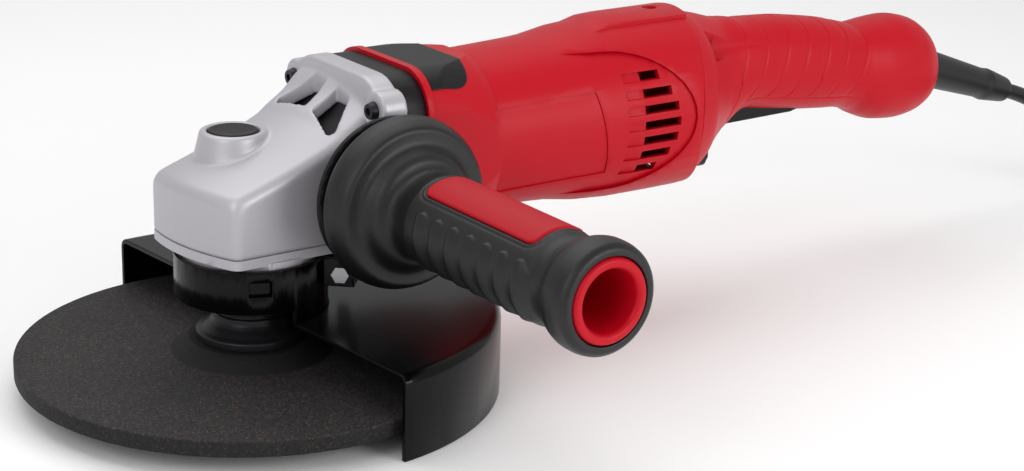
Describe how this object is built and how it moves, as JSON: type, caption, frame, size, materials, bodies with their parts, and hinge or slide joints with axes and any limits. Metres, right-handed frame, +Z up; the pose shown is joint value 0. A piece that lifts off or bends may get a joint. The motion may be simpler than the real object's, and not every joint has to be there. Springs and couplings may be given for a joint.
{
  "type": "angle grinder",
  "caption": "Large two-handed angle grinder with guard, grinding disc, side handle, paddle switch and a mains lead laid in a coil.",
  "frame": {"origin": "centre of the spindle's free end, under the lock nut", "axes": "+Z up along the spindle, +X from the gear head to the tail handle, the side handle stands out towards -Y"},
  "size_m": [0.8545, 0.3444, 0.1627],
  "materials": {
    "silver_paint": "satin silver paint",
    "red_plastic": "satin",
    "black_plastic": "satin",
    "grey_plastic": "satin",
    "black_rubber": "matt",
    "red_rubber": "satin",
    "black_enamel": "gloss black paint",
    "abrasive": "coarse",
    "steel": "turned",
    "dark_steel": "blackened",
    "bright_zinc": "bright zinc",
    "laminate": "matt",
    "copper": "lacquered copper wire",
    "brass": "satin",
    "carbon": "matt"
  },
  "bodies": {
    "machine": {"gear_case": "silver_paint", "air_guide_ring": "black_plastic", "bearing_plate": "silver_paint", "plate_screws": "dark_steel", "case_screws": "dark_steel", "motor_housing": "red_plastic", "top_panel": "black_plastic", "field_core": "laminate", "field_coils": "copper", "brush_holders": "brass", "carbon_brushes": "carbon", "brush_springs": "steel", "front_bearing": "steel", "rear_bearing": "steel", "spindle_bearing": "steel", "needle_bearing": "steel", "tail_shell_left": "red_plastic", "tail_shell_right": "red_plastic", "tail_screws": "steel", "tail_mount_screws": "dark_steel", "power_switch": "black_plastic", "soft_start_module": "grey_plastic", "cord_clamp": "black_plastic", "strain_relief": "black_rubber", "paddle_pin": "steel", "paddle_spring": "steel", "catch_spring": "steel", "lock_spring": "steel", "handle_stud": "steel", "handle_back_ring": "black_plastic", "handle_hub": "grey_plastic", "handle_damper": "red_rubber", "grip_body": "black_rubber", "grip_inlay": "red_rubber", "grip_end_sleeve": "red_plastic", "power_cord": "black_rubber", "cord_coil": "black_rubber", "plug_lead": "black_rubber", "mains_plug": "black_rubber", "plug_pins": "brass"},
    "spindle_set": {"spindle": "steel", "crown_gear": "dark_steel", "inner_flange": "dark_steel", "grinding_disc": "abrasive", "lock_nut": "dark_steel"},
    "armature": {"armature_shaft": "steel", "pinion": "dark_steel", "fan": "black_plastic", "armature_core": "laminate", "armature_windings": "copper", "commutator": "copper"},
    "spindle_lock": {"lock_button": "black_plastic", "lock_pin": "steel"},
    "guard": {"guard_shell": "black_enamel", "guard_collar": "black_enamel", "clamp_bolt": "bright_zinc"},
    "guard_lever": {"clamp_lever": "bright_zinc"},
    "trigger": {"paddle": "black_plastic"},
    "catch": {"lock_off_catch": "black_plastic"},
    "plunger": {"switch_plunger": "red_plastic"}
  },
  "joints": [
    {"name": "spindle_spin", "type": "hinge", "parent": "machine", "child": "spindle_set", "pos_m": [0, 0, 0], "axis": [0, 0, 1], "continuous": true},
    {"name": "armature_spin", "type": "hinge", "parent": "machine", "child": "armature", "pos_m": [0, 0, 0.1025], "axis": [1, 0, 0], "continuous": true},
    {"name": "lock_press", "type": "slide", "parent": "machine", "child": "spindle_lock", "axis": [0, 0, -1], "range_m": [0, 0.005], "stiffness_N_per_m": 800, "springref_m": -0.002, "deforming": ["lock_spring"]},
    {"name": "guard_turn", "type": "hinge", "parent": "machine", "child": "guard", "pos_m": [0, 0, 0], "axis": [0, 0, 1], "range_deg": [-90, 90]},
    {"name": "clamp_open", "type": "hinge", "parent": "guard", "child": "guard_lever", "pos_m": [0.04104, -0.02242, 0.0515], "axis": [0, 0, 1], "range_deg": [-100, 0]},
    {"name": "paddle_press", "type": "hinge", "parent": "machine", "child": "trigger", "pos_m": [0.348, 0, 0.0895], "axis": [0, 1, 0], "range_deg": [0, 7], "stiffness_Nm_per_rad": 1.5, "springref_deg": -2.86, "deforming": ["paddle_spring"]},
    {"name": "plunger_slide", "type": "slide", "parent": "machine", "child": "plunger", "axis": [0, 0, 1], "range_m": [0, 0.0042], "stiffness_N_per_m": 0.45, "springref_m": 0.01},
    {"name": "catch_slide", "type": "slide", "parent": "machine", "child": "catch", "axis": [-1, 0, 0], "range_m": [0, 0.003], "stiffness_N_per_m": 500, "springref_m": -0.001}
  ],
  "couplings": [
    {"joint": "armature_spin", "follows": "spindle_spin", "ratio": 3},
    {"joint": "plunger_slide", "follows": "paddle_press", "m_per_rad": 0.032}
  ]
}
